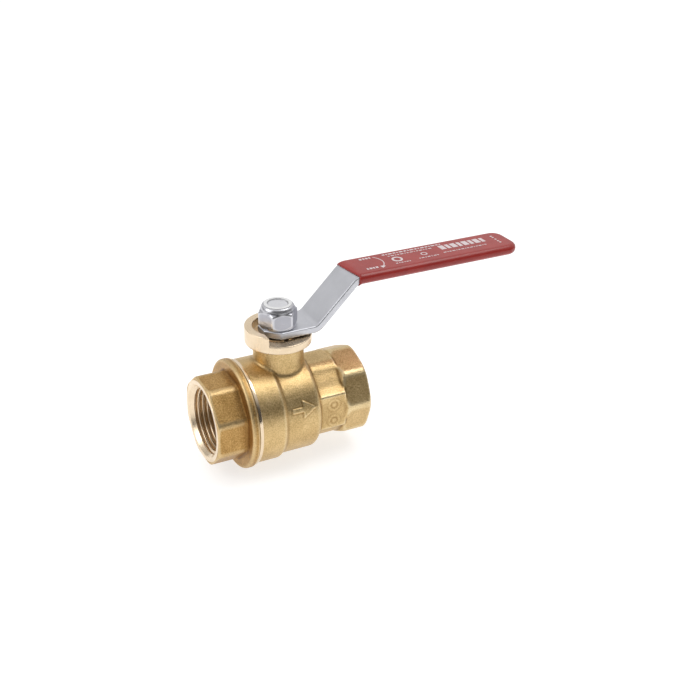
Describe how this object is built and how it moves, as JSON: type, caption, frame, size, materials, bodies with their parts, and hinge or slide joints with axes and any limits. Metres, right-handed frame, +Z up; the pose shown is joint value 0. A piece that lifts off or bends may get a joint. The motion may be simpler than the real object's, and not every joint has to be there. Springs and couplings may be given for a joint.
{
  "type": "water shutoff ball valve",
  "caption": "Full-port brass ball valve with female threaded ends, a cranked lever with a red vinyl grip, and a stop collar that limits the lever to a quarter turn.",
  "frame": {"origin": "centre of the inlet port, at the mouth of its threaded wall and flush with the end cap's face", "axes": "+X along the flow axis from inlet to outlet; +Z up the stem to the lever; the lever lies along +X when the valve is open"},
  "size_m": [0.1326, 0.042, 0.0713],
  "materials": {
    "forged_brass": "tumbled forging with turned faces",
    "turned_brass": "turned",
    "chrome_ball": "polished chrome plate",
    "zinc_steel": "zinc plated steel strap",
    "zinc_nut": "zinc plated steel nut",
    "red_vinyl": "dipped vinyl",
    "ptfe": "virgin PTFE",
    "white_nylon": "nylon collar",
    "black_elastomer": "moulded nitrile"
  },
  "bodies": {
    "valve_body": {"body": "forged_brass", "end_cap": "forged_brass", "body_seal": "ptfe", "seat_inlet": "ptfe", "seat_outlet": "ptfe", "thrust_washer": "ptfe", "packing_adapter": "ptfe", "packing_ring_1": "ptfe", "packing_ring_2": "ptfe", "packing_ring_3": "ptfe", "packing_ring_4": "ptfe", "packing_follower": "turned_brass", "packing_nut": "turned_brass"},
    "lever_set": {"stem": "zinc_nut", "stem_oring_lower": "black_elastomer", "stem_oring_upper": "black_elastomer", "lever": "zinc_steel", "grip": "red_vinyl", "lock_nut": "zinc_nut", "nut_insert": "white_nylon"},
    "ball": {"ball": "chrome_ball"}
  },
  "joints": [
    {"name": "lever_turn", "type": "hinge", "parent": "valve_body", "child": "lever_set", "pos_m": [0.0312, 0, 0.0303], "axis": [0, 0, 1], "range_deg": [-90, 0]},
    {"name": "ball_turn", "type": "hinge", "parent": "valve_body", "child": "ball", "pos_m": [0.0312, 0, 0], "axis": [0, 0, 1], "range_deg": [-90, 0]}
  ],
  "couplings": [
    {"joint": "ball_turn", "follows": "lever_turn", "ratio": 1}
  ]
}
